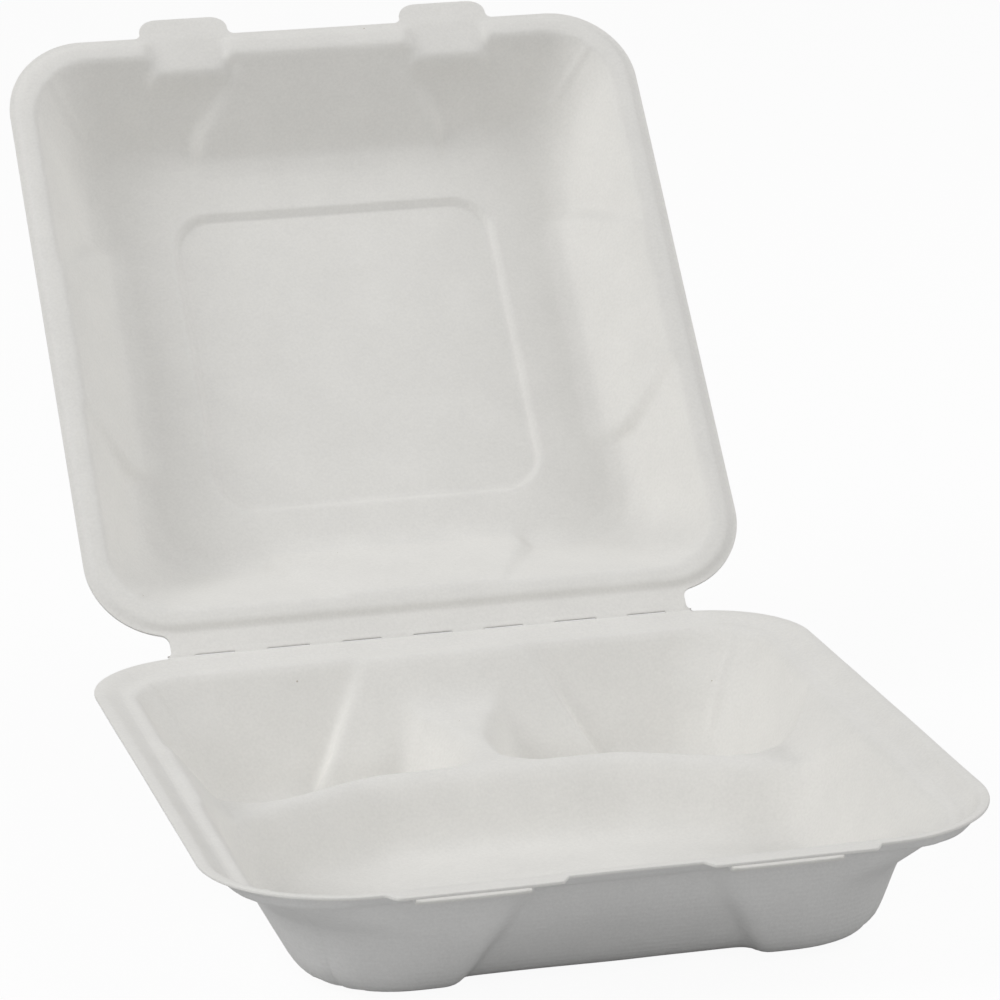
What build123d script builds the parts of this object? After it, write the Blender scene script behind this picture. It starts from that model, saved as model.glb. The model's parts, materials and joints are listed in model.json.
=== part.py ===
import os
from math import cos, radians, sin, tan

from build123d import *

os.makedirs("parts", exist_ok=True)

# Overall sizes, in millimetres and degrees
base_width = 230.0
base_depth = 240.0
base_height = 41.7
base_wall = 1.5
lid_wall = 0.8
wall_draft = 25.0
lid_open_angle = 132.0

# Rim of the tray: a flat lip, a slope down to a ledge, then the wall
rim_back_radius = 34.0
rim_front_radius = 43.0
lip_width = 3.3
rim_run = 5.2
ledge_width = 5.0
ledge_drop_front = 5.0
ledge_radius = 20.0
latch_pad_reach = 4.0
latch_pad_width = 52.0
latch_pad_radius = 2.5
rim_side_splits = 4

# Floor and dividers of the tray, distances back to front measured from the fold
divider_height = 23.2
divider_width = 8.0
divider_middle = 82.0
divider_end = 108.0
divider_flat_half = 40.0
stem_half = 7.0
stem_waist_half = 19.0
stem_waist = 46.0
stem_root_half = 33.0
plateau_half = 93.5
plateau_back = 21.5
plateau_front = 222.0
cup_corner_radius = 26.0
front_corner_radius = 43.0
cup_divider_radius = 18.0
front_cup_divider_radius = 25.0
cup_stem_radius = 9.0
cup_bend_radius = 22.0
cup_waist_radius = 14.0
floor_radius_share = 0.6
floor_cove_radius = 9.0

# Panels that stand in from the middle of a wall
panel_step = 3.0
panel_top_half = 24.0
panel_top_inset = 0.8
panel_foot_half = 43.0
panel_foot_inset = 6.5
side_web_top_half = 28.0
side_web_foot_half = 11.0
side_web_middle = 101.0
side_web_inset = 5.0
root_web_top_half = 30.0
root_web_foot_half = 24.0
root_web_inset = 9.0

# Fold between tray and lid, with its row of slits
fold_gap = 0.3
fold_lift = 0.3
fold_half_length = 84.0
slit_length = 12.7
slit_pitch = 23.2
slit_width = 1.0
slit_count = 7

# Lid, distances back to front measured from the fold
lid_width = 216.0
lid_back = 7.0
lid_front = 230.5
lid_rise = 29.0
lid_radius = 27.5
lid_lip_width = 1.5
lid_step_run = 1.8
lid_step_drop = 1.6
lid_rim_width = 5.0
lid_wall_radius = 22.0
lid_top_half = 84.0
lid_top_back = 40.0
lid_top_front = 203.0
lid_top_radius = 19.0
lid_cove_radius = 11.0
lid_panel_foot_half = 41.0
lid_panel_foot_inset = 4.5
emboss_half = 54.0
emboss_middle = 118.0
emboss_radius = 13.0
emboss_depth = 1.2
strip_overlap = 6.0

# Tabs of the lid and the slots that take them
tab_spacing = 90.0
tab_width = 31.0
tab_reach = 7.0
tab_radius = 6.0
tab_cheek = 2.0
slot_side_gap = 0.8
slot_under = 0.9
slot_over = 0.4
seat_gap = 0.3
overrun = 3.0

# Heights, tilts and planes that follow from the sizes above
draft = radians(wall_draft)
fold_y = base_depth / 2
fold_z = base_height + fold_lift
ledge_inset = lip_width + rim_run + ledge_width
ledge_half = base_width / 2 - ledge_inset
ledge_front = base_depth - ledge_inset
seat_drop = lid_step_drop + seat_gap
seat_tilt = (ledge_drop_front + fold_lift - seat_drop) / ledge_front
base_growth = base_wall * (1 - sin(draft)) / cos(draft)
lid_growth = lid_wall * (1 - sin(draft)) / cos(draft)
opening = radians(lid_open_angle)
seat_plane = Plane((0, fold_y, fold_z), x_dir=(1, 0, 0), z_dir=(0, -sin(seat_tilt), cos(seat_tilt)))
lid_plane = Plane((0, fold_y, fold_z), x_dir=(1, 0, 0), z_dir=(0, sin(opening), cos(opening)))
slit_places = [(slit_pitch * (index - (slit_count - 1) / 2), 0) for index in range(slit_count)]


def level(height):
    return Plane((0, fold_y, height), x_dir=(1, 0, 0), z_dir=(0, 0, 1))


def section(plane, points, radii):
    with BuildSketch(plane) as profile:
        with BuildLine():
            FilletPolyline(*points, radius=radii, close=True)
        make_face()
    return profile.sketch


def frame_outline(half, back, front):
    return [(-half, -back), (half, -back), (half, -front), (-half, -front)]


# A wall's outline with a panel in the middle of each side, each given as half width and inset
def wall_outline(half, back, front, middle, back_panel, side_panel, front_panel):
    back_half, back_inset = back_panel
    side_half, side_inset = side_panel
    front_half, front_inset = front_panel
    right = [
        (back_half, -back - back_inset),
        (back_half + panel_step, -back),
        (half, -back),
        (half, -middle + side_half + panel_step),
        (half - side_inset, -middle + side_half),
        (half - side_inset, -middle - side_half),
        (half, -middle - side_half - panel_step),
        (half, -front),
        (front_half + panel_step, -front),
        (front_half, -front + front_inset),
    ]
    return right + [(-x, y) for x, y in reversed(right)]


def wall_radii(back_corner, front_corner):
    right = [0, 0, back_corner, 0, 0, 0, 0, front_corner, 0, 0]
    return right + right[::-1]


# Moves every side of a clockwise outline inwards
def moved_in(points, run):
    sides = []
    for start, end in zip(points, points[1:] + points[:1]):
        along = (Vector(*end) - Vector(*start)).normalized()
        sides.append((Vector(*start) + Vector(along.Y, -along.X) * run, along))
    corners = []
    for (before, along), (after, across) in zip(sides[-1:] + sides[:-1], sides):
        reach = (after - before).cross(across).Z / along.cross(across).Z
        corner = before + along * reach
        corners.append((corner.X, corner.Y))
    return corners


# Heights above a flat and insets from a wall's foot that round the wall into the flat
def cove_steps(radius):
    half_angle = (radians(90) + draft) / 2
    tangent = radius / tan(half_angle)
    bulge = radius / sin(half_angle) - radius
    return [
        (tangent * cos(draft), -tangent * sin(draft)),
        (bulge * sin(half_angle), bulge * cos(half_angle)),
        (0, tangent),
    ]


# Outlines of the three cups at the level of the divider tops
def back_cup(side):
    points = [
        (stem_root_half, -plateau_back),
        (plateau_half, -plateau_back),
        (plateau_half, -divider_end + divider_width / 2),
        (divider_flat_half, -divider_middle + divider_width / 2),
        (stem_half, -divider_middle + divider_width / 2),
        (stem_waist_half, -stem_waist),
    ]
    radii = [
        cup_stem_radius,
        cup_corner_radius,
        cup_divider_radius,
        cup_bend_radius,
        cup_stem_radius,
        cup_waist_radius,
    ]
    if side < 0:
        points = [(-x, y) for x, y in reversed(points)]
        radii = radii[::-1]
    return points, radii


def front_cup():
    right = [
        (divider_flat_half, -divider_middle - divider_width / 2),
        (plateau_half, -divider_end - divider_width / 2),
        (plateau_half, -plateau_front),
    ]
    radii = [cup_bend_radius, front_cup_divider_radius, front_corner_radius]
    return right + [(-x, y) for x, y in reversed(right)], radii + radii[::-1]


# Adds the front panel to the front cup's outline
def with_panel(points, radii, half, inset):
    front = points[2][1]
    panel = [
        (half + panel_step, front),
        (half, front + inset),
        (-half, front + inset),
        (-half - panel_step, front),
    ]
    return points[:3] + panel + points[3:], radii[:3] + [0] * len(panel) + radii[3:]


cup_drop = divider_height - base_wall
cup_run = cup_drop * tan(draft)
panel_share = (base_height - ledge_drop_front - divider_height) / (base_height - ledge_drop_front - base_wall)
panel_plateau_half = panel_top_half + (panel_foot_half - panel_top_half) * panel_share
panel_plateau_inset = panel_top_inset + (panel_foot_inset - panel_top_inset) * panel_share
cup_levels = [(cup_drop, 0, 0)]
for rise, run in cove_steps(floor_cove_radius):
    cup_levels.append((rise, cup_run + run, 1 - rise / cup_drop))


# Sections of a cup from the divider tops to the floor, grown and lowered for its underside
def cup_sections(points, radii, growth, drop, panelled):
    sections = []
    for rise, run, share in cup_levels:
        outline = moved_in(points, run - growth)
        rounding = [radius * (1 - share * (1 - floor_radius_share)) for radius in radii]
        if panelled:
            half = panel_plateau_half + (panel_foot_half - panel_plateau_half) * share
            inset = panel_plateau_inset + (panel_foot_inset - panel_plateau_inset) * share
            outline, rounding = with_panel(outline, rounding, half, inset)
        sections.append(section(level(base_wall + rise - drop), outline, rounding))
    return sections


# The space of the tray above the dividers, from the ledge down; webs are narrower on its underside
def tray_sections(growth, drop):
    web_height = base_height - ledge_drop_front - divider_height
    side_lean = side_web_top_half - side_web_foot_half + divider_end - side_web_middle
    root_lean = root_web_top_half - root_web_foot_half
    side_relief = drop * (1 + side_lean / web_height)
    root_relief = drop * (1 + root_lean / web_height)
    top = wall_outline(
        ledge_half + growth,
        ledge_inset - growth,
        ledge_front + growth,
        divider_end,
        (root_web_top_half - root_relief, panel_top_inset),
        (side_web_top_half - side_relief, panel_top_inset),
        (panel_top_half, panel_top_inset),
    )
    foot = wall_outline(
        plateau_half + growth,
        plateau_back - growth,
        plateau_front + growth,
        side_web_middle,
        (root_web_foot_half - root_relief, root_web_inset),
        (side_web_foot_half - side_relief, side_web_inset),
        (panel_plateau_half, panel_plateau_inset),
    )
    return [
        section(seat_plane.offset(-seat_drop - drop), top, wall_radii(ledge_radius, ledge_radius)),
        section(level(divider_height - drop), foot, wall_radii(cup_corner_radius, front_corner_radius)),
    ]


# A rim outline whose straight sides are split, so that the twist of the slope below them is shared out
def rim_section(plane, inset, back_radius, front_radius):
    half = base_width / 2 - inset
    front = base_depth - inset
    straight = front - front_radius - inset - back_radius
    splits = []
    for split in range(1, rim_side_splits + 1):
        splits.append((half, -inset - back_radius - straight * split / (rim_side_splits + 1)))
    back_left, back_right, front_right, front_left = frame_outline(half, inset, front)
    points = [back_left, back_right] + splits + [front_right, front_left]
    points += [(-x, y) for x, y in reversed(splits)]
    sharp = [0] * rim_side_splits
    return section(plane, points, [back_radius] * 2 + sharp + [front_radius] * 2 + sharp)


# The space inside the sloped rim, from the lip down to the ledge
def rim_sections(growth, drop):
    top_inset = lip_width - growth
    foot_inset = lip_width + rim_run - growth
    foot_radius = ledge_radius + ledge_width
    lip_plane = level(base_height - drop)
    ledge_plane = seat_plane.offset(-seat_drop - drop)
    return [
        rim_section(lip_plane, top_inset, rim_back_radius - top_inset, rim_front_radius - top_inset),
        rim_section(ledge_plane, foot_inset, foot_radius, foot_radius),
    ]


cup_outlines = [back_cup(1) + (False,), back_cup(-1) + (False,), front_cup() + (True,)]

with BuildPart() as base_tray:
    with BuildSketch(level(base_height - base_wall)):
        with BuildLine():
            FilletPolyline(
                *frame_outline(base_width / 2, fold_gap / 2, base_depth),
                radius=[rim_back_radius] * 2 + [rim_front_radius] * 2,
                close=True,
            )
        make_face()
        with Locations((-tab_spacing / 2, -base_depth), (tab_spacing / 2, -base_depth)):
            RectangleRounded(latch_pad_width, latch_pad_reach * 2, latch_pad_radius)
    extrude(amount=base_wall)
    loft(rim_sections(base_growth, base_wall), ruled=True)
    loft(tray_sections(base_growth, base_wall), ruled=True)
    for points, radii, panelled in cup_outlines:
        loft(cup_sections(points, radii, base_growth, base_wall, panelled), ruled=True)
    loft(rim_sections(0, 0), ruled=True, mode=Mode.SUBTRACT)
    loft(tray_sections(0, 0), ruled=True, mode=Mode.SUBTRACT)
    for points, radii, panelled in cup_outlines:
        loft(cup_sections(points, radii, 0, 0, panelled), ruled=True, mode=Mode.SUBTRACT)
    with BuildSketch(seat_plane.offset(-slot_under)):
        with Locations((-tab_spacing / 2, -base_depth), (tab_spacing / 2, -base_depth)):
            Rectangle(tab_width + slot_side_gap * 2, ledge_inset * 2)
    extrude(amount=slot_under + lid_wall + slot_over, mode=Mode.SUBTRACT)
    with BuildSketch(level(base_height)):
        with Locations(*slit_places):
            Rectangle(slit_length, slit_width)
    extrude(amount=-base_wall, mode=Mode.SUBTRACT)
base_tray.part.label = "base_tray"
export_step(base_tray.part, "parts/base_tray.step")

# Outlines of the lid's rim and dome
lid_rim_inset = lid_lip_width + lid_step_run + lid_rim_width
lid_rim_half = lid_width / 2 - lid_rim_inset
lid_rim_back = lid_back + lid_rim_inset
lid_rim_front = lid_front - lid_rim_inset
lid_levels = [(-lid_step_drop, 0, 0)]
for rise, run in cove_steps(lid_cove_radius):
    lid_levels.append((lid_rise - rise, run, 1))


# Outline of the lid a given distance in from its edge
def lid_frame(inset):
    return frame_outline(lid_width / 2 - inset, lid_back + inset, lid_front - inset)


# Sections of the lid's dome from the rim to the top, grown and raised for its outside
def dome_sections(growth, lift):
    sections = []
    for height, run, share in lid_levels:
        inset = growth - run
        half = lid_rim_half + (lid_top_half - lid_rim_half) * share
        back = lid_rim_back + (lid_top_back - lid_rim_back) * share
        front = lid_rim_front + (lid_top_front - lid_rim_front) * share
        corner = lid_wall_radius + (lid_top_radius - lid_wall_radius) * share
        panel = (
            panel_top_half + (lid_panel_foot_half - panel_top_half) * share,
            panel_top_inset + (lid_panel_foot_inset - panel_top_inset) * share,
        )
        middle = (back + front) / 2
        outline = wall_outline(half + inset, back - inset, front + inset, middle, panel, panel, panel)
        sections.append(section(lid_plane.offset(height + lift), outline, wall_radii(corner, corner)))
    return sections


# Sections of the step from the lid's lip down to its rim
def step_sections(lift):
    return [
        section(lid_plane.offset(lift), lid_frame(lid_lip_width), lid_radius - lid_lip_width),
        section(
            lid_plane.offset(lift - lid_step_drop),
            lid_frame(lid_lip_width + lid_step_run),
            lid_radius - lid_lip_width - lid_step_run,
        ),
    ]


tab_root = lid_rim_front - lid_step_drop
tab_places = [(-tab_spacing / 2, -tab_root), (tab_spacing / 2, -tab_root)]

with BuildPart() as lid:
    with BuildSketch(lid_plane) as lid_lip:
        with BuildLine():
            FilletPolyline(*lid_frame(0), radius=lid_radius, close=True)
        make_face()
        with Locations((0, -fold_gap / 2)):
            Rectangle(fold_half_length * 2, lid_back + strip_overlap, align=(Align.CENTER, Align.MAX))
        with Locations((-tab_spacing / 2, -lid_front), (tab_spacing / 2, -lid_front)):
            RectangleRounded(tab_width, tab_reach * 2, tab_radius)
    extrude(amount=lid_wall)
    loft(step_sections(0), ruled=True)
    loft(step_sections(lid_wall), ruled=True, mode=Mode.SUBTRACT)
    with BuildSketch(lid_plane.offset(-lid_step_drop)):
        with Locations(*tab_places):
            Rectangle(
                tab_width + tab_cheek * 2,
                lid_front - lid_lip_width - tab_root,
                align=(Align.CENTER, Align.MAX),
            )
    extrude(amount=lid_step_drop + lid_wall)
    loft(dome_sections(lid_growth, lid_wall), ruled=True)
    with BuildSketch(lid_plane.offset(lid_rise)):
        with Locations((0, -emboss_middle)):
            RectangleRounded((emboss_half + lid_growth) * 2, (emboss_half + lid_growth) * 2, emboss_radius)
    extrude(amount=lid_wall + emboss_depth)
    loft(dome_sections(0, 0), ruled=True, mode=Mode.SUBTRACT)
    with BuildSketch(lid_plane.offset(lid_rise)):
        with Locations((0, -emboss_middle)):
            RectangleRounded(emboss_half * 2, emboss_half * 2, emboss_radius)
    extrude(amount=emboss_depth, mode=Mode.SUBTRACT)
    with BuildSketch(lid_plane):
        with Locations(*tab_places):
            Rectangle(tab_width, lid_front - tab_root, align=(Align.CENTER, Align.MAX))
    extrude(amount=-lid_step_drop - overrun, mode=Mode.SUBTRACT)
    with BuildSketch(lid_plane):
        with Locations(*slit_places):
            Rectangle(slit_length, slit_width)
    extrude(amount=lid_wall, mode=Mode.SUBTRACT)
lid.part.label = "lid"
export_step(lid.part, "parts/lid.step")
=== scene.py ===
import json
import math

import bmesh
import bpy
from mathutils import Matrix, Vector, noise
from mathutils.bvhtree import BVHTree


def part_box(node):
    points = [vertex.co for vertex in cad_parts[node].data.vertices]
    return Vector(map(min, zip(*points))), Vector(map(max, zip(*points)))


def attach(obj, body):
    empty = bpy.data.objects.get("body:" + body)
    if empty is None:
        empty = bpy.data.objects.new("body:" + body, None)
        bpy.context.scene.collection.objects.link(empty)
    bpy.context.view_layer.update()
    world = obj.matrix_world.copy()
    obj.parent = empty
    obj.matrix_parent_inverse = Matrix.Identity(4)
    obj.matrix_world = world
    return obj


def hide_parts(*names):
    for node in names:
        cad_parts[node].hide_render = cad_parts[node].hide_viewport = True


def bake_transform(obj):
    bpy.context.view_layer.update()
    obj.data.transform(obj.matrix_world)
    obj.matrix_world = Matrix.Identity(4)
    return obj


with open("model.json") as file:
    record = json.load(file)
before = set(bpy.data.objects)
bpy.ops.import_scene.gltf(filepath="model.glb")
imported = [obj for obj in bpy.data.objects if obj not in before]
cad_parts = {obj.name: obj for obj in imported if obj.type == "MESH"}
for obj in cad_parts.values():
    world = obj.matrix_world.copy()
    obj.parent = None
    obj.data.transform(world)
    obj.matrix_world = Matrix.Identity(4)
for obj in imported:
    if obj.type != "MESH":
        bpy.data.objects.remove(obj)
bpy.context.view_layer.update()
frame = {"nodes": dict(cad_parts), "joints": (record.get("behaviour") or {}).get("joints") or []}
scene = bpy.context.scene
trayLow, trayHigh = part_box("base_tray")
foldPlace = Vector(frame["joints"][0]["pos_m"])
print("frame loaded")

latchSpacing = 0.045            # from the middle of the box to each latch, on tray and lid
rayStart = 0.2                  # rays drop on the sheets from here
pulpWaves = [(0.045, 0.00025), (0.012, 0.00005)]  # slow waviness of dried pulp: size and height


def easeIn(value):
    value = min(1.0, max(0.0, value))
    return value * value * (3 - 2 * value)


def smoothMax(first, second, reach):
    overlap = max(0.0, reach - abs(first - second))
    return max(first, second) + overlap * overlap / (4 * reach)


def edgeInsets(rim):
    insets = [0.0]
    for inset, rows in rim:
        last = insets[-1]
        insets += [last + (inset - last) * row / rows for row in range(1, rows + 1)]
    return insets


def gridPlaces(low, high, rim, step):
    insets = edgeInsets(rim)
    inner = high - low - 2 * insets[-1]
    count = round(inner / step)
    middle = [low + insets[-1] + inner * i / count for i in range(1, count)]
    return [low + inset for inset in insets] + middle + [high - inset for inset in reversed(insets)]


# A grid whose rings follow a rounded outline
def ringGrid(low, high, rim, step, lowRadius, highRadius):
    xs = gridPlaces(low[0], high[0], rim, step)
    ys = gridPlaces(low[1], high[1], rim, step)
    bm = bmesh.new()
    bmesh.ops.create_grid(bm, x_segments=len(xs) - 1, y_segments=len(ys) - 1, size=1.0)
    insetLayer = bm.verts.layers.float.new("inset")
    for v in bm.verts:
        x = xs[round((v.co.x + 1) / 2 * (len(xs) - 1))]
        y = ys[round((v.co.y + 1) / 2 * (len(ys) - 1))]
        sideX = 1 if x > (low[0] + high[0]) / 2 else -1
        sideY = 1 if y > (low[1] + high[1]) / 2 else -1
        insetX = high[0] - x if sideX > 0 else x - low[0]
        insetY = high[1] - y if sideY > 0 else y - low[1]
        radius = highRadius if sideY > 0 else lowRadius
        inset = min(insetX, insetY)
        along = max(insetX, insetY) - inset
        arc = radius - inset
        if along < arc:
            turn = math.radians(45) * (1 - along / arc)
            if insetX > insetY:
                turn = math.radians(90) - turn
            edgeX = high[0] if sideX > 0 else low[0]
            edgeY = high[1] if sideY > 0 else low[1]
            x = edgeX - sideX * (radius - arc * math.cos(turn))
            y = edgeY - sideY * (radius - arc * math.sin(turn))
        v.co = (x, y, 0)
        v[insetLayer] = inset
    return bm, insetLayer


def surfaceTree(node, toSheet):
    mesh = frame["nodes"][node].data
    corners = [toSheet @ v.co for v in mesh.vertices]
    return BVHTree.FromPolygons(corners, [tuple(p.vertices) for p in mesh.polygons])


def heightAt(tree, x, y, missing):
    hit = tree.ray_cast(Vector((x, y, rayStart)), Vector((0, 0, -1)))[0]
    return missing if hit is None else hit.z


# Rounds the creases, lightly on the rim and more on the walls and dividers inside
def soften(bm, insetLayer, piece, isFlat):
    inner = [v for v in bm.verts if not v.is_boundary]
    for start, passes in piece["soft"]:
        zone = [v for v in inner if v[insetLayer] >= start and not (start > 0 and isFlat(v.co))]
        for _ in range(passes):
            bmesh.ops.smooth_vert(bm, verts=zone, factor=0.5,
                                  use_axis_x=False, use_axis_y=False, use_axis_z=True)


# Waves that fade out towards the fold line
def ripple(bm, piece, foldY):
    for v in bm.verts:
        fade = min(1.0, abs(v.co.y - foldY) / piece["foldCalm"])
        for size, height in pulpWaves:
            v.co.z += fade * height * noise.noise(v.co / size + Vector(piece["waveSeed"]))


def makePiece(name, bm, toFrame):
    bmesh.ops.transform(bm, matrix=toFrame, verts=bm.verts)
    for face in bm.faces:
        face.smooth = True
    mesh = bpy.data.meshes.new(name)
    bm.to_mesh(mesh)
    bm.free()
    piece = bpy.data.objects.new(name, mesh)
    scene.collection.objects.link(piece)
    return piece


def thicken(piece, values):
    shell = piece.modifiers.new("wall", "SOLIDIFY")
    shell.thickness = values["wall"]
    shell.offset = -1.0
    shell.material_offset = 1
    edge = piece.modifiers.new("lipRound", "BEVEL")
    edge.width = values["lipRound"]
    edge.segments = 2
    edge.limit_method = "ANGLE"
    edge.angle_limit = math.radians(60)


# Sheet of the tray, in metres
traySheet = {
    "step": 0.0012,             # spacing of the grid away from the rim
    "rim": [(0.0030, 3), (0.0036, 1), (0.0082, 5), (0.0088, 1), (0.0132, 4)],  # inset and rows
    "lip": 0.0033,
    "flatLip": 0.0005,
    "slopeEnd": 0.0085,
    "ledgePlace": 0.0100,
    "backRadius": 0.034,
    "frontRadius": 0.043,
    "padReach": 0.004,          # latch pads step out of the front lip
    "padHalf": 0.026,
    "padBlend": 0.003,
    "slotHalf": 0.0163,
    "slotRows": (0.0046, 0.0054),  # the slot is open between these insets, over a shelf at ledge level
    "slotMend": 0.01956,        # out to here the slope is taken from beside the slot, at slotBeside
    "slotBeside": 0.020375,
    "foldTrim": 0.0001,
    "foldCalm": 0.010,
    "waveSeed": (3.1, 7.7, 1.9),
    "wall": 0.0010,
    "lipRound": 0.0004,
    "soft": [(0.0, 3), (0.0150, 3), (0.0340, 8)],  # smoothing passes from each inset inwards
}

# Panel that stands in from the middle of the tray's back wall, wider towards its foot
backPanel = {
    "inset": 0.0135,
    "run": 0.0230,
    "topHalf": 0.024,
    "footHalf": 0.0455,
    "topStep": 0.0014,
    "footStep": 0.0080,
    "blend": 0.0046,
}

# Narrow ridge from the panel to the front divider, between the two back cups
stemRidge = {
    "front": 0.042,
    "half": 0.0048,
    "height": 0.0232,
    "rise": 0.0025,             # it climbs and widens towards the panel
    "flare": 0.0110,
    "flareStart": 0.066,
    "flareRun": 0.036,
    "footRound": 0.012,
    "slope": 2.144,
    "cove": 0.007,
    "clear": 0.058,             # the cup floor is plain across this line
    "nearHalf": 0.034,
    "nearPlace": 0.030,         # distance from the middle at which the divider is plain
    "farHalf": 0.050,
    "farPlace": 0.056,          # distance from the middle at which the back wall is plain
    "blend": 0.004,
}


# Height of the plain wall with the panel in front of it
def panelHeight(tree, x, y, wall):
    share = (foldPlace.y - backPanel["inset"] - y) / backPanel["run"]
    if share > 1:
        return wall
    half = backPanel["topHalf"] + (backPanel["footHalf"] - backPanel["topHalf"]) * share
    step = backPanel["topStep"] + (backPanel["footStep"] - backPanel["topStep"]) * share
    face = heightAt(tree, math.copysign(stemRidge["farPlace"], x), y + step, wall)
    return wall + max(0.0, face - wall) * easeIn((half + backPanel["blend"] - abs(x)) / backPanel["blend"])


def stemHeight(x, y):
    climb = easeIn((y - stemRidge["flareStart"]) / stemRidge["flareRun"])
    foot = max(0.0, stemRidge["footRound"] - y + stemRidge["front"])
    half = stemRidge["half"] + stemRidge["flare"] * climb
    half += stemRidge["footRound"] - math.sqrt(stemRidge["footRound"] ** 2 - foot ** 2)
    top = stemRidge["height"] + stemRidge["rise"] * climb
    return top - max(0.0, abs(x) - half) * stemRidge["slope"]


# Shapes the middle of the tray's back from plain wall and floor, panel and ridge
def middleHeight(tree, x, y, height):
    if not stemRidge["front"] < y < foldPlace.y - backPanel["inset"]:
        return height
    side = "far" if y > stemRidge["clear"] else "near"
    share = easeIn((stemRidge[side + "Half"] + stemRidge["blend"] - abs(x)) / stemRidge["blend"])
    plain = heightAt(tree, math.copysign(stemRidge[side + "Place"], x), y, height)
    shaped = smoothMax(panelHeight(tree, x, y, plain), stemHeight(x, y), stemRidge["cove"])
    return height + (shaped - height) * share


def pushPads(bm, front):
    lip = traySheet["lip"]
    for v in bm.verts:
        behind = v.co.y - front
        across = abs(abs(v.co.x) - latchSpacing)
        if behind < lip and across < traySheet["padHalf"]:
            ease = easeIn((traySheet["padHalf"] - across) / traySheet["padBlend"])
            v.co.y -= traySheet["padReach"] * ease * (1 - behind / lip)


def raiseTray(bm, insetLayer, front):
    tree = surfaceTree("base_tray", Matrix.Identity(4))
    for v in bm.verts:
        x, y = v.co.x, v.co.y
        inset = v[insetLayer]
        across = abs(abs(x) - latchSpacing)
        onSlope = traySheet["lip"] < inset < traySheet["slopeEnd"]
        if y < 0 and onSlope and across < traySheet["slotMend"]:
            x = math.copysign(latchSpacing - traySheet["slotBeside"], x)
            if inset > traySheet["slotRows"][0] and across < traySheet["slotHalf"]:
                y = front + traySheet["ledgePlace"]
        height = trayHigh.z if inset < traySheet["flatLip"] else heightAt(tree, x, y, trayHigh.z)
        v.co.z = middleHeight(tree, x, y, height)


def cutSlots(bm, front):
    near, far = traySheet["slotRows"]
    faces = []
    for face in bm.faces:
        middle = face.calc_center_median()
        if near < middle.y - front < far and abs(abs(middle.x) - latchSpacing) < traySheet["slotHalf"]:
            faces.append(face)
    bmesh.ops.delete(bm, geom=faces, context="FACES")


def makeTray():
    low = (trayLow.x, trayLow.y + traySheet["padReach"])
    high = (trayHigh.x, trayHigh.y - traySheet["foldTrim"])
    bm, insetLayer = ringGrid(low, high, traySheet["rim"], traySheet["step"],
                              traySheet["frontRadius"], traySheet["backRadius"])
    pushPads(bm, low[1])
    raiseTray(bm, insetLayer, low[1])
    cutSlots(bm, low[1])
    soften(bm, insetLayer, traySheet, lambda place: False)
    ripple(bm, traySheet, foldPlace.y)
    tray = makePiece("traySheet", bm, Matrix.Identity(4))
    thicken(tray, traySheet)
    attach(tray, "tray")
    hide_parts("base_tray")
    return tray


# Sheet of the lid, laid out flat from the fold with its inside up
lidSheet = {
    "openAngle": 132.0,
    "half": 0.108,
    "back": 0.007,
    "front": 0.2305,
    "radius": 0.0275,
    "step": 0.0012,
    "rim": [(0.0013, 2), (0.0035, 3), (0.0081, 4)],  # lip, step, rim
    "flatLip": 0.0005,
    "tabHalf": 0.0150,
    "tabReach": 0.007,
    "tabFoot": 0.0022,
    "tabRound": 0.0060,
    "tabEdge": 0.08,            # share of the reach that is left at the ends of the tip
    "tabRows": 4,
    "padHalf": 0.0118,          # behind each tab the rim is pressed flat to a pad
    "padCheek": 0.0028,
    "padStart": 0.0010,
    "padSlope": 0.17,
    "padReach": 0.0136,
    "padRound": 0.0024,
    "padClear": 0.0235,         # beside the pads, this far from their middle, the rim is plain
    "wallStart": -0.001,        # the wall lies below this and the rim above it
    "stripHalf": 0.0846,
    "stripEnd": 0.0003,
    "stripFoot": 0.0030,
    "stripSpread": 0.0015,
    "stripRoot": 0.012,         # the strip grows out of the edge that lies this near the fold
    "flapSteps": 6,
    "foldCalm": 0.012,
    "waveSeed": (8.3, 2.2, 5.4),
    "wall": 0.0009,
    "lipRound": 0.0003,
    "soft": [(0.0, 2), (0.0095, 2)],
    "flatMiddle": 0.119,
    "flatHalf": 0.066,          # the embossed square lies inside this and keeps its edge
}

# Square pressed into the top of the lid
lidEmboss = {
    "middle": 0.1204,
    "half": 0.0546,
    "halfLength": 0.0560,
    "radius": 0.0130,
    "depth": 0.0021,
    "edge": 0.0016,
}


# Swings the flat lid open
def lidMatrix():
    angle = math.radians(lidSheet["openAngle"])
    across = Vector((1, 0, 0))
    along = Vector((0, -math.cos(angle), math.sin(angle)))
    inward = across.cross(along)
    turn = Matrix((across, along, inward)).transposed().to_4x4()
    return Matrix.Translation(foldPlace) @ turn


def edgeRun(bm, test):
    return [e for e in bm.edges if e.is_boundary and all(test(v.co) for v in e.verts)]


def quarterTurns():
    steps = lidSheet["flapSteps"]
    return [math.radians(90) * i / steps for i in range(1, steps + 1)]


# Reach and half width of the rows that round the foot of a flap into the edge it grows from
def footRows(half, foot):
    return [(foot * (1 - math.cos(turn)), half + foot * (1 - math.sin(turn))) for turn in quarterTurns()]


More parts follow.
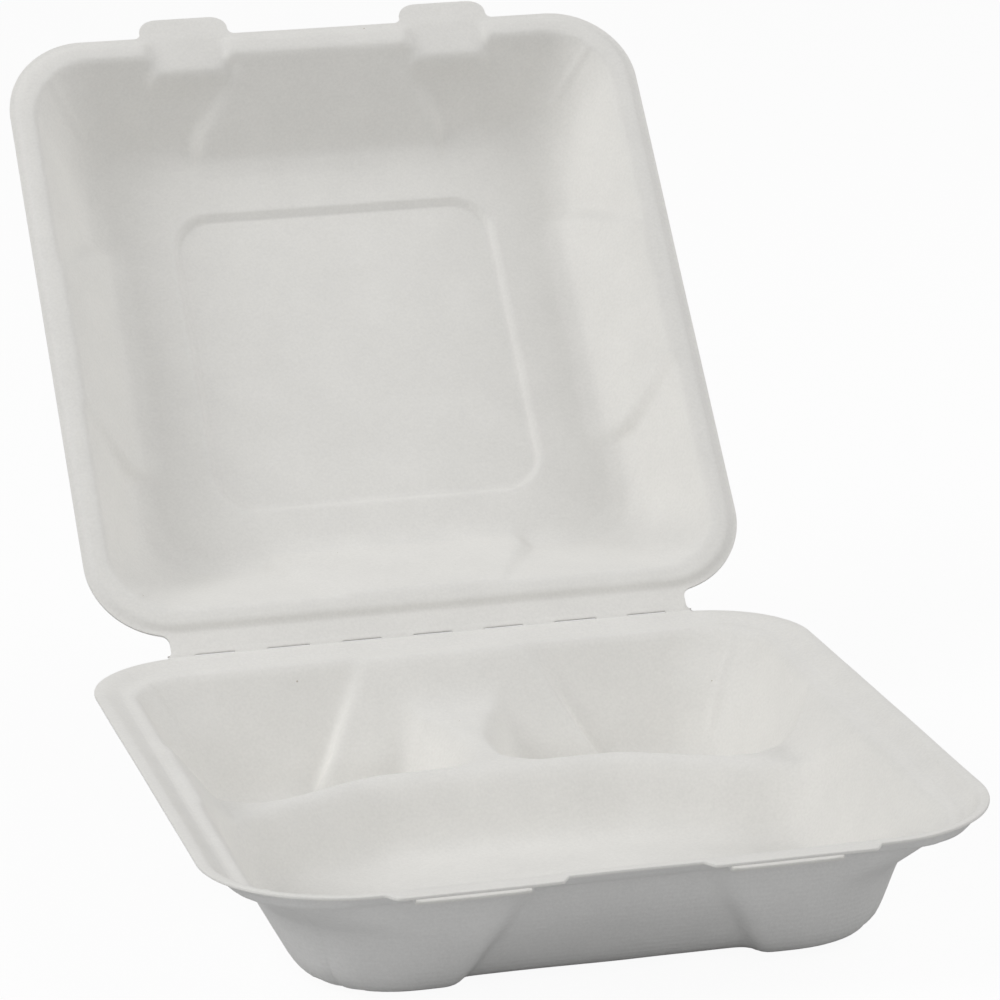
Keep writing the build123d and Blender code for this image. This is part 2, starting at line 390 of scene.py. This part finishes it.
# Grows a flap out of a run of edges, row by row; place gives a point from its row and its share across
def growFlap(bm, insetLayer, edges, rows, place):
    roots = sorted({v for edge in edges for v in edge.verts}, key=lambda v: v.co.x)
    low = roots[0].co.x
    span = roots[-1].co.x - low
    starts = [(2 * (v.co.x - low) / span - 1, v.co.y) for v in roots]
    for row in rows:
        grown = bmesh.ops.extrude_edge_only(bm, edges=edges)["geom"]
        verts = [g for g in grown if isinstance(g, bmesh.types.BMVert)]
        fresh = set(verts)
        edges = [g for g in grown if isinstance(g, bmesh.types.BMEdge) and fresh.issuperset(g.verts)]
        verts.sort(key=lambda v: v.co.x)
        for v, (share, y) in zip(verts, starts):
            v.co.x, v.co.y = place(row, share, y)
            v[insetLayer] = 0.0


# Tab whose tip is rounded at both ends
def growTab(bm, insetLayer, centre):
    front, reach, half = lidSheet["front"], lidSheet["tabReach"], lidSheet["tabHalf"]
    foot, rounding, count = lidSheet["tabFoot"], lidSheet["tabRound"], lidSheet["tabRows"]
    rows = footRows(half, foot)
    rows += [(foot + (reach - foot) * i / count, half) for i in range(1, count + 1)]

    def place(row, share, y):
        out, width = row
        crowd = min(1.0, out / foot)
        across = share + (math.sin(math.radians(90) * share) - share) * crowd
        beyond = max(0.0, abs(across) * half - half + rounding) / rounding
        edge = lidSheet["tabEdge"]
        tip = edge + (1 - edge) * math.sqrt(max(0.0, 1 - beyond * beyond))
        return centre + across * width, y + min(out, foot) + max(0.0, out - foot) * tip

    root = edgeRun(bm, lambda p: p.y > front - 1e-6 and abs(p.x - centre) < half + foot)
    growFlap(bm, insetLayer, root, rows, place)


# Strip between the lid's lip and the fold, spread a little at the fold
def growStrip(bm, insetLayer):
    back, end, half = lidSheet["back"], lidSheet["stripEnd"], lidSheet["stripHalf"]
    foot, spread = lidSheet["stripFoot"], lidSheet["stripSpread"]
    length = back - end
    rows = footRows(half, foot)
    for turn in quarterTurns():
        rows.append((length - spread * (1 - math.sin(turn)), half + spread * (1 - math.cos(turn))))

    def place(row, share, y):
        out, width = row
        return share * width, y + (end - y) * out / length

    root = edgeRun(bm, lambda p: p.y < back + lidSheet["stripRoot"] and abs(p.x) < half + foot)
    growFlap(bm, insetLayer, root, rows, place)


# Share of the emboss depth at a place, from none outside the rounded square to all inside it
def embossShare(x, y):
    radius = lidEmboss["radius"]
    across = abs(x) - lidEmboss["half"] + radius
    along = abs(y - lidEmboss["middle"]) - lidEmboss["halfLength"] + radius
    beyond = math.hypot(max(0.0, across), max(0.0, along)) + min(0.0, max(across, along)) - radius
    return easeIn(0.5 - beyond / lidEmboss["edge"])


# Height of the lid's inside, with the pads worked into the plain rim
def lidHeight(tree, x, y, inset):
    if inset < lidSheet["flatLip"]:
        return 0.0
    height = heightAt(tree, x, y, 0.0)
    across = abs(abs(x) - latchSpacing)
    if y < lidSheet["flatMiddle"] or inset > lidSheet["radius"] or across > lidSheet["padClear"]:
        return height
    if height > lidSheet["wallStart"]:
        outward = 1 if abs(x) > latchSpacing else -1
        beside = latchSpacing + lidSheet["padClear"] * outward
        height = heightAt(tree, math.copysign(beside, x), y, 0.0)
    pad = -lidSheet["padSlope"] * max(0.0, inset - lidSheet["padStart"])
    share = easeIn((lidSheet["padHalf"] + lidSheet["padCheek"] - across) / lidSheet["padCheek"])
    if height < pad:
        share *= easeIn((lidSheet["padReach"] + lidSheet["padRound"] - inset) / lidSheet["padRound"])
    return height + share * (pad - height)


def makeLid():
    toFrame = lidMatrix()
    back, front = lidSheet["back"], lidSheet["front"]
    bm, insetLayer = ringGrid((-lidSheet["half"], back), (lidSheet["half"], front), lidSheet["rim"],
                              lidSheet["step"], lidSheet["radius"], lidSheet["radius"])
    for centre in (-latchSpacing, latchSpacing):
        growTab(bm, insetLayer, centre)
    growStrip(bm, insetLayer)
    tree = surfaceTree("lid", toFrame.inverted())
    for v in bm.verts:
        v.co.z = lidHeight(tree, v.co.x, v.co.y, v[insetLayer])

    def isFlat(place):
        return max(abs(place.x), abs(place.y - lidSheet["flatMiddle"])) < lidSheet["flatHalf"]

    soften(bm, insetLayer, lidSheet, isFlat)
    top = heightAt(tree, lidSheet["flatHalf"], lidSheet["flatMiddle"], 0.0)
    for v in bm.verts:
        if isFlat(v.co):
            v.co.z = top - lidEmboss["depth"] * embossShare(v.co.x, v.co.y)
    ripple(bm, lidSheet, 0.0)
    lid = makePiece("lidSheet", bm, toFrame)
    thicken(lid, lidSheet)
    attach(lid, "lid")
    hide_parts("lid")
    return lid


# Thin web that carries the fold, with its row of slits
foldWeb = {
    "columns": 162,
    "side": [                   # distance from the crease and lift of each row
        (0.0045, -0.00050),
        (0.0030, -0.00015),
        (0.0018, 0.00002),
        (0.0008, 0.00006),
        (0.00013, 0.00006),
    ],
    "bend": 0.0012,             # it bends within this distance of the crease
    "wall": 0.0005,
    "slitHalf": 0.00635,
    "slitPitch": 0.0232,
    "slitCount": 7,
}


# Faces of the middle row that are cut out as slits
def slitFaces(bm, rowCount):
    pitch = foldWeb["slitPitch"]
    faces = []
    for face in bm.faces:
        middle = face.calc_center_median()
        x = middle.x * lidSheet["stripHalf"]
        nearest = round(x / pitch)
        inMiddleRow = abs(middle.y) < 1 / rowCount
        inRange = abs(nearest) <= foldWeb["slitCount"] // 2
        if inMiddleRow and inRange and abs(x - nearest * pitch) < foldWeb["slitHalf"]:
            faces.append(face)
    return faces


# The web follows the tray on one side of the crease and the lid on the other
def makeFoldWeb():
    rows = [(-out, lift) for out, lift in foldWeb["side"]] + foldWeb["side"][::-1]
    stripHalf, spread = lidSheet["stripHalf"], lidSheet["stripSpread"]
    bm = bmesh.new()
    bmesh.ops.create_grid(bm, x_segments=foldWeb["columns"], y_segments=len(rows) - 1, size=1.0)
    slits = slitFaces(bm, len(rows))
    toLid = lidMatrix()
    crease = Vector((0, foldPlace.y, trayHigh.z))
    for v in bm.verts:
        out, lift = rows[round((v.co.y + 1) / 2 * (len(rows) - 1))]
        inside = min(max(0.0, spread - out), spread)  # the ends follow the spread of the strip
        x = v.co.x * (stripHalf + spread - math.sqrt(spread ** 2 - inside ** 2))
        v.co = toLid @ Vector((x, out, lift)) if out > 0 else crease + Vector((x, out, lift))
    bmesh.ops.delete(bm, geom=slits, context="FACES")
    web = makePiece("foldWeb", bm, Matrix.Identity(4))
    shell = web.modifiers.new("wall", "SOLIDIFY")
    shell.thickness = foldWeb["wall"]
    shell.offset = -1.0
    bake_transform(web)
    return web


# Moulded pulp: mottled colour, specks and fibre relief
pulpLook = {
    "inside": (0.860, 0.850, 0.822),
    "outside": (0.850, 0.848, 0.838),
    "speck": (0.42, 0.36, 0.27),
    "roughness": 0.92,
    "specular": 0.22,
    "mottle": 0.22,
    "grainScale": 1100.0,
    "fibreScale": 420.0,
    "cloudScale": 55.0,
    "speckScale": 95.0,
    "speckSize": 0.030,
    "speckRarity": 0.72,
    "speckStrength": 0.6,
    "screen": 0.35,             # lines left by the forming screen, on the outside only
    "screenScale": 190.0,
    "reliefStrength": 0.35,
    "reliefDepth": 0.0003,
}


def pulpGroup():
    group = bpy.data.node_groups.new("pulpFibre", "ShaderNodeTree")
    for name, kind, value in (("Base", "NodeSocketColor", (0.8, 0.8, 0.8, 1)),
                              ("Speck", "NodeSocketColor", (0.4, 0.3, 0.2, 1)),
                              ("Mottle", "NodeSocketFloat", 0.05),
                              ("Screen", "NodeSocketFloat", 0.0)):
        group.interface.new_socket(name, in_out="INPUT", socket_type=kind).default_value = value
    group.interface.new_socket("Colour", in_out="OUTPUT", socket_type="NodeSocketColor")
    group.interface.new_socket("Height", in_out="OUTPUT", socket_type="NodeSocketFloat")
    nodes, links = group.nodes, group.links
    entry = nodes.new("NodeGroupInput")
    leave = nodes.new("NodeGroupOutput")
    place = nodes.new("ShaderNodeTexCoord")

    def noiseNode(scale, detail):
        node = nodes.new("ShaderNodeTexNoise")
        node.inputs["Scale"].default_value = scale
        node.inputs["Detail"].default_value = detail
        links.new(place.outputs["Object"], node.inputs["Vector"])
        return node.outputs["Fac"]

    def mathNode(operation, first, second):
        node = nodes.new("ShaderNodeMath")
        node.operation = operation
        for socket, value in zip(node.inputs, (first, second)):
            if isinstance(value, (int, float)):
                socket.default_value = value
            else:
                links.new(value, socket)
        return node.outputs[0]

    def blendOf(first, firstShare, second, secondShare):
        firstPart = mathNode("MULTIPLY", first, firstShare)
        secondPart = mathNode("MULTIPLY", second, secondShare)
        return mathNode("ADD", firstPart, secondPart)

    grain = noiseNode(pulpLook["grainScale"], 4.0)
    fibre = noiseNode(pulpLook["fibreScale"], 3.0)
    cloud = noiseNode(pulpLook["cloudScale"], 3.0)

    dots = nodes.new("ShaderNodeTexVoronoi")
    dots.inputs["Scale"].default_value = pulpLook["speckScale"]
    links.new(place.outputs["Object"], dots.inputs["Vector"])
    near = mathNode("LESS_THAN", dots.outputs["Distance"], pulpLook["speckSize"])
    few = mathNode("GREATER_THAN", dots.outputs["Color"], pulpLook["speckRarity"])
    speck = mathNode("MULTIPLY", near, few)

    tone = mathNode("SUBTRACT", blendOf(grain, 0.6, cloud, 0.4), 0.5)
    shade = mathNode("ADD", mathNode("MULTIPLY", tone, entry.outputs["Mottle"]), 1.0)
    tint = nodes.new("ShaderNodeMix")
    tint.data_type = "RGBA"
    tint.blend_type = "MULTIPLY"
    tint.inputs["Factor"].default_value = 1.0
    links.new(entry.outputs["Base"], tint.inputs[6])
    links.new(shade, tint.inputs[7])
    spotted = nodes.new("ShaderNodeMix")
    spotted.data_type = "RGBA"
    links.new(mathNode("MULTIPLY", speck, pulpLook["speckStrength"]), spotted.inputs["Factor"])
    links.new(tint.outputs[2], spotted.inputs[6])
    links.new(entry.outputs["Speck"], spotted.inputs[7])
    links.new(spotted.outputs[2], leave.inputs["Colour"])

    screen = nodes.new("ShaderNodeTexWave")
    screen.bands_direction = "Z"
    screen.inputs["Scale"].default_value = pulpLook["screenScale"]
    screen.inputs["Distortion"].default_value = 2.0
    screen.inputs["Detail"].default_value = 2.0
    links.new(place.outputs["Object"], screen.inputs["Vector"])
    lines = mathNode("MULTIPLY", screen.outputs["Fac"], entry.outputs["Screen"])
    relief = mathNode("ADD", blendOf(grain, 0.5, fibre, 0.5), lines)
    links.new(relief, leave.inputs["Height"])
    return group


def pulpMaterial(name, group, colour, screen):
    material = bpy.data.materials.new(name)
    material.use_nodes = True
    nodes, links = material.node_tree.nodes, material.node_tree.links
    surface = nodes["Principled BSDF"]
    surface.inputs["Roughness"].default_value = pulpLook["roughness"]
    surface.inputs["Specular IOR Level"].default_value = pulpLook["specular"]
    pulp = nodes.new("ShaderNodeGroup")
    pulp.node_tree = group
    pulp.inputs["Base"].default_value = (*colour, 1)
    pulp.inputs["Speck"].default_value = (*pulpLook["speck"], 1)
    pulp.inputs["Mottle"].default_value = pulpLook["mottle"]
    pulp.inputs["Screen"].default_value = screen
    bump = nodes.new("ShaderNodeBump")
    bump.inputs["Strength"].default_value = pulpLook["reliefStrength"]
    bump.inputs["Distance"].default_value = pulpLook["reliefDepth"]
    links.new(pulp.outputs["Height"], bump.inputs["Height"])
    links.new(pulp.outputs["Colour"], surface.inputs["Base Color"])
    links.new(bump.outputs["Normal"], surface.inputs["Normal"])
    return material


studio = {
    "left": {"place": (-1.50, 0.00, 1.30), "size": 1.0, "power": 15.6},
    "right": {"place": (1.50, 0.00, 1.30), "size": 1.0, "power": 11.1},
    "front": {"place": (-0.20, -1.90, 0.80), "size": 1.0, "power": 4.8},
    "aim": (0, 0.1, 0.08),
    "sky": 0.33,
    "floorSize": 8.0,
    "floorLevel": -0.0002,
    "floorSeen": 0.95,
    "floorBounce": 0.60,
    "floorWhite": 0.94,
}


def makeLights():
    for name in ("left", "right", "front"):
        values = studio[name]
        data = bpy.data.lights.new(name, "AREA")
        data.energy = values["power"]
        data.size = values["size"]
        lamp = bpy.data.objects.new(name, data)
        lamp.location = values["place"]
        aim = Vector(studio["aim"]) - lamp.location
        lamp.rotation_euler = aim.to_track_quat("-Z", "Y").to_euler()
        scene.collection.objects.link(lamp)
    world = bpy.data.worlds.new("studioSky")
    world.use_nodes = True
    scene.world = world
    nodes, links = world.node_tree.nodes, world.node_tree.links
    back = nodes["Background"]
    ray = nodes.new("ShaderNodeLightPath")
    level = nodes.new("ShaderNodeMapRange")
    level.inputs["To Min"].default_value = studio["sky"]
    level.inputs["To Max"].default_value = 1.0
    links.new(ray.outputs["Is Camera Ray"], level.inputs["Value"])
    links.new(level.outputs["Result"], back.inputs["Strength"])
    back.inputs["Color"].default_value = (1, 1, 1, 1)


# Floor that the camera sees as white, with the shadow left in faintly
def makeFloor():
    bm = bmesh.new()
    bmesh.ops.create_grid(bm, x_segments=1, y_segments=1, size=studio["floorSize"] / 2)
    floor = makePiece("floor", bm, Matrix.Translation((0, 0, studio["floorLevel"])))
    material = bpy.data.materials.new("paleFloor")
    material.use_nodes = True
    nodes, links = material.node_tree.nodes, material.node_tree.links
    surface = nodes["Principled BSDF"]
    surface.inputs["Roughness"].default_value = 1.0
    surface.inputs["Specular IOR Level"].default_value = 0.0
    ray = nodes.new("ShaderNodeLightPath")
    tone = nodes.new("ShaderNodeMapRange")
    tone.inputs["To Min"].default_value = studio["floorBounce"]
    tone.inputs["To Max"].default_value = studio["floorSeen"]
    links.new(ray.outputs["Is Camera Ray"], tone.inputs["Value"])
    links.new(tone.outputs["Result"], surface.inputs["Base Color"])
    share = nodes.new("ShaderNodeMath")
    share.operation = "MULTIPLY"
    share.inputs[1].default_value = studio["floorWhite"]
    links.new(ray.outputs["Is Camera Ray"], share.inputs[0])
    white = nodes.new("ShaderNodeEmission")
    mix = nodes.new("ShaderNodeMixShader")
    links.new(share.outputs[0], mix.inputs["Fac"])
    links.new(surface.outputs["BSDF"], mix.inputs[1])
    links.new(white.outputs["Emission"], mix.inputs[2])
    links.new(mix.outputs["Shader"], nodes["Material Output"].inputs["Surface"])
    floor.data.materials.append(material)


photoCamera = {
    "place": (-0.3441, -1.3637, 0.4884),
    "target": (0.0015, 0.0330, 0.1077),
    "roll": -1.293,
    "lens": 178.67,
    "sensor": 36.0,
    "clipEnd": 50.0,
}


def makeCamera():
    data = bpy.data.cameras.new("photoCamera")
    data.lens = photoCamera["lens"]
    data.sensor_width = photoCamera["sensor"]
    data.clip_end = photoCamera["clipEnd"]
    camera = bpy.data.objects.new("photoCamera", data)
    place = Vector(photoCamera["place"])
    aim = Vector(photoCamera["target"]) - place
    turn = aim.to_track_quat("-Z", "Y").to_matrix().to_4x4()
    roll = Matrix.Rotation(math.radians(photoCamera["roll"]), 4, "Z")
    camera.matrix_world = Matrix.Translation(place) @ turn @ roll
    scene.collection.objects.link(camera)
    scene.camera = camera


scene.view_settings.view_transform = "Standard"
group = pulpGroup()
insidePulp = pulpMaterial("insidePulp", group, pulpLook["inside"], 0.0)
outsidePulp = pulpMaterial("outsidePulp", group, pulpLook["outside"], pulpLook["screen"])
print("materials ready")
for piece in (makeTray(), makeLid(), makeFoldWeb()):
    piece.data.materials.append(insidePulp)
    piece.data.materials.append(outsidePulp)
    print("made", piece.name, len(piece.data.polygons), "faces")
makeLights()
makeFloor()
makeCamera()
print("studio ready")
